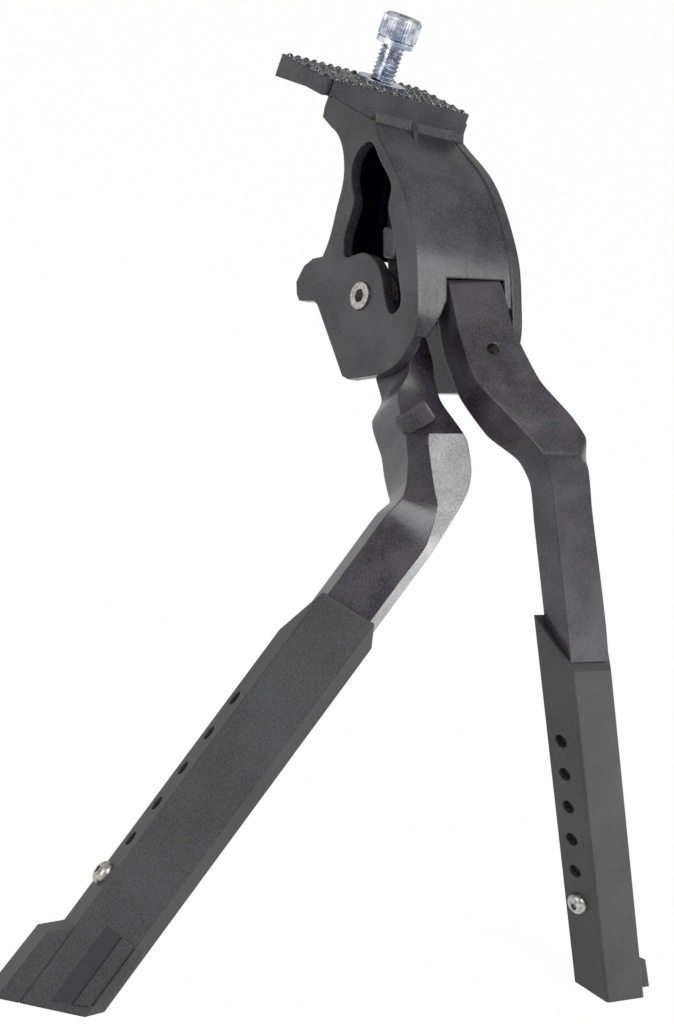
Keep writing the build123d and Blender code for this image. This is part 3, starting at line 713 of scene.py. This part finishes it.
# Sleeves: moulded dark grey plastic covers with a fine spark-eroded grain, each with a row of
# height holes, a steel screw in one of them, and a flared foot. The left foot has a raised band
# between a rib at its outer edge and a smooth, shallow recess.
plastic, plastic_shader, start, place = new_finish("sleeve_plastic")
grain = noise(place, 1900.0, 2.0)
patch = noise(place, 30.0, 3.0)
feed(plastic_shader, "Base Color", blend(ramp(patch * 0.35 + grain * 0.65, 0.30, 0.70),
                                         (0.012, 0.012, 0.013, 1.0), (0.055, 0.055, 0.058, 1.0)))
feed(plastic_shader, "Roughness", 0.50 + grain * 0.12)
height = grain * 0.6 + patch * 0.1
feed(plastic_shader, "Normal", height.node("ShaderNodeBump", {}, {
    "Strength": 0.18, "Distance": 0.0004, "Height": height, "Normal": rounded(start, 0.0009)}))
dress("left_sleeve", plastic)
dress("right_sleeve", plastic)
shaded_plastic, shaded_shader, start, place = new_finish("recessed_plastic")
pressed = noise(place, 500.0, 2.0)
feed(shaded_shader, "Base Color", blend(pressed, (0.012, 0.012, 0.015, 1.0), (0.024, 0.023, 0.028, 1.0)))
feed(shaded_shader, "Roughness", 0.45 + pressed * 0.1)
foot_middle = -12.9
foot_reach = 126.2
foot_slant = 0.54
foot_face = 9.9


def foot_end(across):
    # How far down the leg the slanted end of the foot lies, at a distance across it
    return foot_reach + (across - foot_middle) * foot_slant


def foot_slab(name, near, far, near_top, far_top, base, height, material, slope=0.0):
    # A thin slab on the left foot, in millimetres, from its two tops down to the slanted end
    corners = [along_frame(left_lower, across, base - drop, down) for across, drop, down in
               ((near, 0.0, near_top), (far, slope, far_top), (far, slope, foot_end(far)),
                (near, 0.0, foot_end(near)))]
    return slab(name, corners, left_lower[2] * height, material, cad_low.z)


ridge = foot_slab("left_foot_ridge", -16.6, -22.2, 94.6, 94.6, foot_face, 1.1, plastic)
edge = foot_slab("left_foot_edge", -23.0, -27.8, 95.2, 95.2, 5.0, 5.7, plastic, 3.6)
recess = foot_slab("left_foot_recess", -9.4, -16.6, 94.4, 94.6, foot_face, 0.35, shaded_plastic)
for piece in (ridge, edge, recess):
    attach(piece, "left_leg_group")
dress("left_height_screw", steel)
dress("right_height_screw", steel)

# Floor and light: a pale sweep under a soft white room, and four lamps. The large one stands on
# the curved wall's side and a weaker one on the other, and two small ones put a sheen on the
# housing and light the right leg from low down.
floor_finish, floor_shader, start, place = new_finish("floor_white")
floor_shader.inputs["Base Color"].default_value = (0.86, 0.86, 0.86, 1.0)
floor_shader.inputs["Roughness"].default_value = 0.8
white_share = 0.97
seen = start.node("ShaderNodeLightPath", output="Is Camera Ray").sum(
    "MAXIMUM", start.node("ShaderNodeLightPath", output="Is Glossy Ray"))
seen = seen.sum("MAXIMUM", start.node("ShaderNodeLightPath", output="Is Transmission Ray"))
glow = start.node("ShaderNodeEmission", {}, {"Color": (1.0, 1.0, 1.0, 1.0), "Strength": 1.0})
mixed = seen.node("ShaderNodeMixShader", {}, {"Fac": seen * white_share, 2: glow})
start.tree.links.new(floor_shader.outputs[0], mixed.socket.node.inputs[1])
start.tree.links.new(mixed.socket, start.tree.nodes["Material Output"].inputs["Surface"])
floor_mesh = bpy.data.meshes.new("floor")
half = 30.0
ground = cad_low.z
floor_mesh.from_pydata([(-half, -half, ground), (half, -half, ground), (half, half, ground),
                        (-half, half, ground)], [], [(0, 1, 2, 3)])
floor_mesh.materials.append(floor_finish)
floor = bpy.data.objects.new("floor", floor_mesh)
bpy.context.scene.collection.objects.link(floor)

room_light = 0.55
world = bpy.data.worlds.new("room")
bpy.context.scene.world = world
world.use_nodes = True
background = world.node_tree.nodes["Background"].inputs
background["Color"].default_value = (1.0, 1.0, 1.0, 1.0)
camera_ray = Shade(world.node_tree).node("ShaderNodeLightPath", output="Is Camera Ray")
strength = camera_ray * (1.0 - room_light) + room_light
world.node_tree.links.new(strength.socket, background["Strength"])


def lamp(name, place, target, size, power):
    data = bpy.data.lights.new(name, "AREA")
    data.shape = "RECTANGLE"
    data.size, data.size_y = size
    data.energy = power
    made = bpy.data.objects.new(name, data)
    made.location = place
    made.rotation_mode = "QUATERNION"
    made.rotation_quaternion = (Vector(target) - Vector(place)).to_track_quat("-Z", "Y")
    bpy.context.scene.collection.objects.link(made)
    return made


lamp("wall_side", (0.10, -1.35, 1.20), (0.0, -0.08, -0.12), (1.2, 0.9), 22.0)
lamp("near_side", (-1.60, -0.20, 0.45), (0.0, -0.08, -0.15), (0.9, 1.2), 9.0)
lamp("upper_sheen", (0.95, -0.95, 0.75), (0.02, -0.07, -0.02), (0.45, 0.45), 0.7)
lamp("low_side", (0.58, -0.26, -0.27), (0.0, -0.13, -0.12), (0.16, 0.10), 0.32)

bpy.context.scene.view_settings.view_transform = "Standard"
